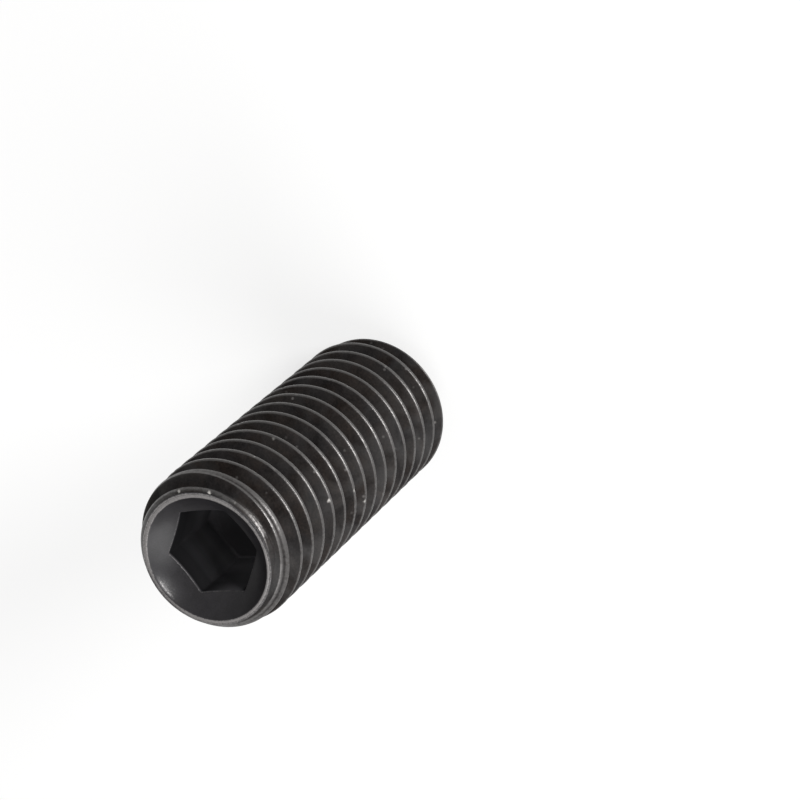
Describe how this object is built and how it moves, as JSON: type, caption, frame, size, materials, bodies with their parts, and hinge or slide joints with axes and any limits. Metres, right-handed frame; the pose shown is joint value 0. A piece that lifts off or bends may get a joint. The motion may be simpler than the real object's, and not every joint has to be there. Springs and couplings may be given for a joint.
{
  "type": "grub set screw",
  "caption": "Headless metric set screw with a hex socket at one end and a cup point at the other, in black oxide steel.",
  "frame": {"origin": "on the screw's axis, in the plane of the cup's rim, on which the screw stands", "axes": "+Z along the screw's axis, from the cup point up to the socket end; +X through a corner of the hex socket"},
  "size_m": [0.01, 0.01, 0.025],
  "materials": {
    "black_steel": "satin"
  },
  "bodies": {
    "root": {"set_screw": "black_steel"}
  },
  "joints": []
}
